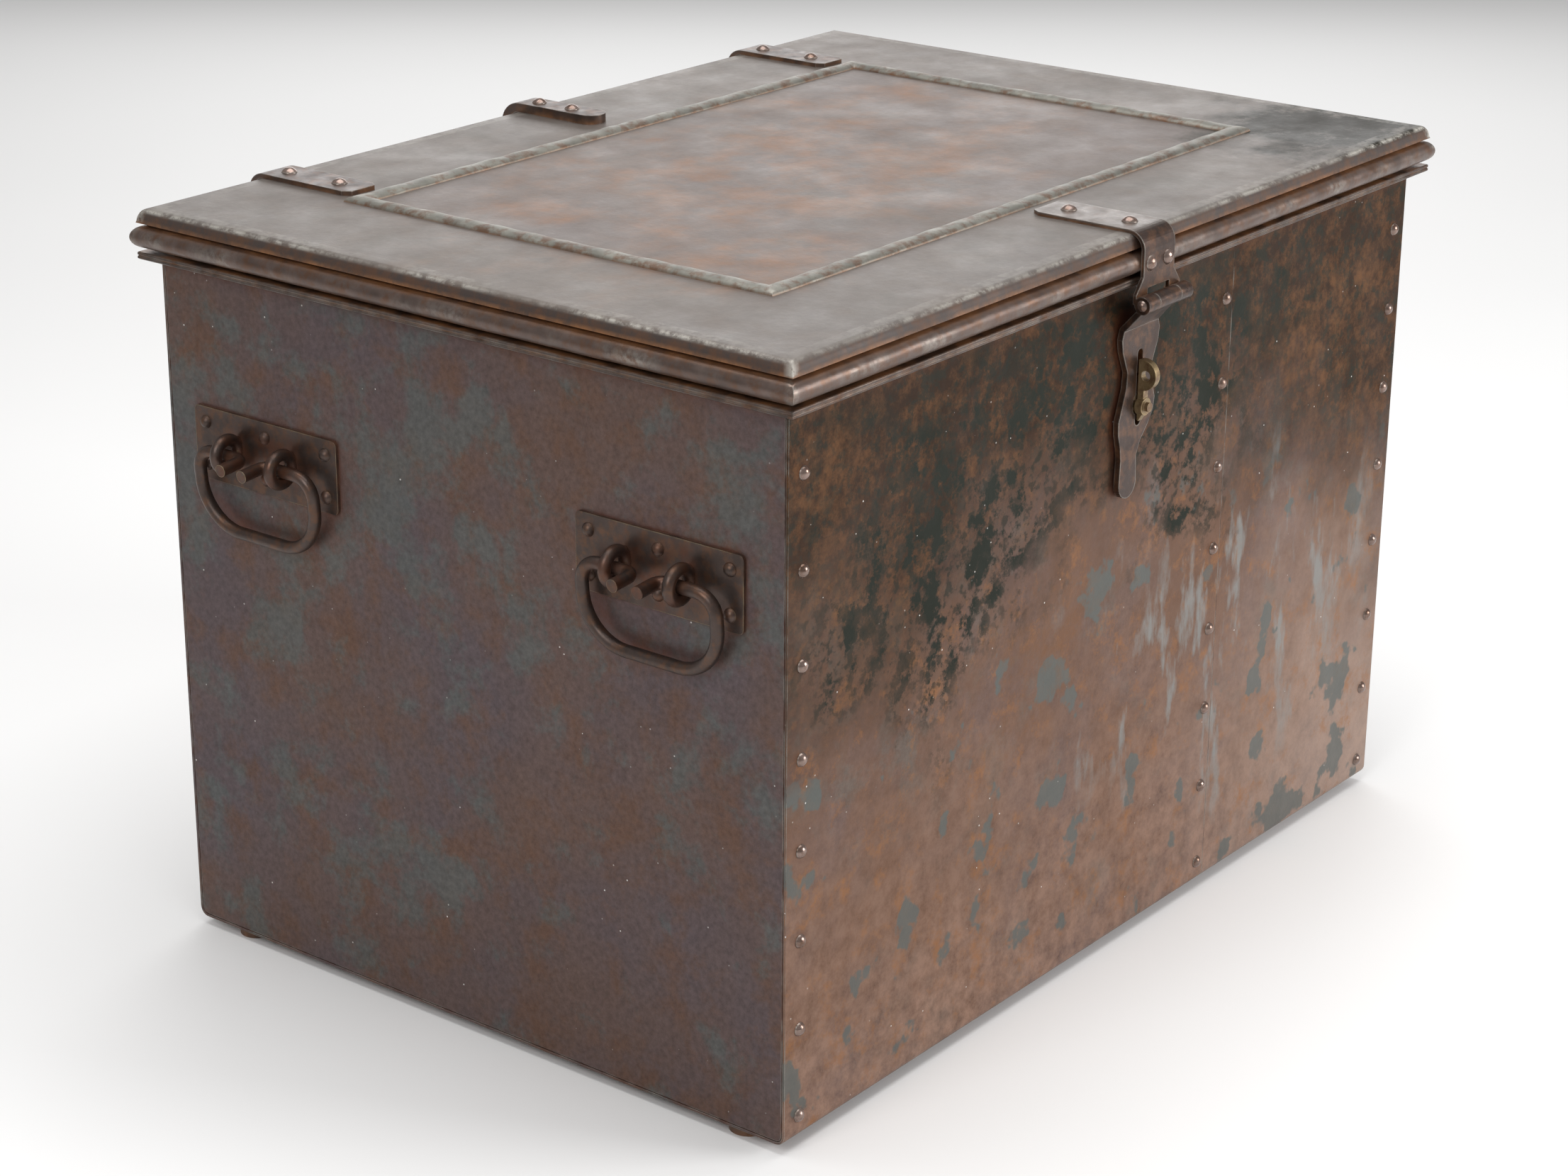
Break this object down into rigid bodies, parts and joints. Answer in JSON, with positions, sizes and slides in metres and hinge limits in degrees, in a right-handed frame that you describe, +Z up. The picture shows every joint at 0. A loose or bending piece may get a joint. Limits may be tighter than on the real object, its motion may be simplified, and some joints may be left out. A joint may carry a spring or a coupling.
{
  "type": "riveted iron chest",
  "caption": "Deep riveted sheet-iron chest with a moulded hinged lid, a hasp over a swivel staple and bail handles on both ends.",
  "frame": {"origin": "on the ground under the middle of the overall box", "axes": "+X to the right along the front, +Y from the front to the back, +Z up; the hasp is on the -Y face"},
  "size_m": [0.9446, 0.6821, 0.624],
  "materials": {
    "body_sheet": "dull mottled rust and blue-grey patina",
    "lid_sheet": "satin, hammered, rusty in the middle",
    "forged_iron": "satin dark brown, worn bright on edges",
    "hasp_steel": "satin, smooth from handling",
    "rivet_steel": "polished domes",
    "staple_bronze": "dull darkened bronze"
  },
  "bodies": {
    "chest": {"end_plate_left": "body_sheet", "end_plate_right": "body_sheet", "wrap_sheet_left": "body_sheet", "wrap_sheet_right": "body_sheet", "rim_frame": "forged_iron", "corner_rivets_left": "rivet_steel", "corner_rivets_right": "rivet_steel", "seam_rivets": "rivet_steel", "runner_front": "forged_iron", "runner_rear": "forged_iron", "runner_rivets": "rivet_steel", "handle_plate_left_front": "forged_iron", "handle_plate_left_rear": "forged_iron", "handle_plate_right_front": "forged_iron", "handle_plate_right_rear": "forged_iron", "plate_rivets_left_front": "rivet_steel", "plate_rivets_left_rear": "rivet_steel", "plate_rivets_right_front": "rivet_steel", "plate_rivets_right_rear": "rivet_steel", "bail_eyes_left_front": "forged_iron", "bail_eyes_left_rear": "forged_iron", "bail_eyes_right_front": "forged_iron", "bail_eyes_right_rear": "forged_iron", "staple_bush": "forged_iron", "hinge_leaf_left": "forged_iron", "hinge_leaf_right": "forged_iron", "leaf_rivets_left": "rivet_steel", "leaf_rivets_right": "rivet_steel", "hinge_pin_left": "rivet_steel", "hinge_pin_right": "rivet_steel"},
    "lid": {"lid_top_sheet": "lid_sheet", "lid_border": "lid_sheet", "lid_bead": "forged_iron", "lid_moulding": "forged_iron", "hinge_strap_left": "forged_iron", "hinge_strap_right": "forged_iron", "strap_rivets_left": "rivet_steel", "strap_rivets_right": "rivet_steel", "stop_bar": "forged_iron", "stop_bar_rivets": "rivet_steel", "hasp_strap": "forged_iron", "hasp_strap_rivets": "rivet_steel", "hasp_pin": "rivet_steel"},
    "hasp": {"hasp_plate": "hasp_steel"},
    "swivel": {"swivel_staple": "staple_bronze", "staple_washer": "forged_iron", "staple_nut": "forged_iron"},
    "bail_left_front": {"bail_left_front": "forged_iron"},
    "bail_left_rear": {"bail_left_rear": "forged_iron"},
    "bail_right_front": {"bail_right_front": "forged_iron"},
    "bail_right_rear": {"bail_right_rear": "forged_iron"}
  },
  "joints": [
    {"name": "lid_hinge", "type": "hinge", "parent": "chest", "child": "lid", "pos_m": [0, 0.33, 0.568], "axis": [-1, 0, 0], "range_deg": [0, 98]},
    {"name": "hasp_swing", "type": "hinge", "parent": "lid", "child": "hasp", "pos_m": [0, -0.334, 0.5605], "axis": [-1, 0, 0], "range_deg": [0, 180]},
    {"name": "staple_turn", "type": "hinge", "parent": "chest", "child": "swivel", "pos_m": [0, -0.308, 0.471], "axis": [0, 1, 0], "range_deg": [-90, 90]},
    {"name": "bail_swing_left_front", "type": "hinge", "parent": "chest", "child": "bail_left_front", "pos_m": [-0.4475, -0.1945, 0.4311], "axis": [0, 1, 0], "range_deg": [-4, 105]},
    {"name": "bail_swing_left_rear", "type": "hinge", "parent": "chest", "child": "bail_left_rear", "pos_m": [-0.4475, 0.2, 0.4311], "axis": [0, 1, 0], "range_deg": [-4, 105]},
    {"name": "bail_swing_right_front", "type": "hinge", "parent": "chest", "child": "bail_right_front", "pos_m": [0.4475, -0.1945, 0.4311], "axis": [0, -1, 0], "range_deg": [-4, 105]},
    {"name": "bail_swing_right_rear", "type": "hinge", "parent": "chest", "child": "bail_right_rear", "pos_m": [0.4475, 0.2, 0.4311], "axis": [0, -1, 0], "range_deg": [-4, 105]}
  ]
}
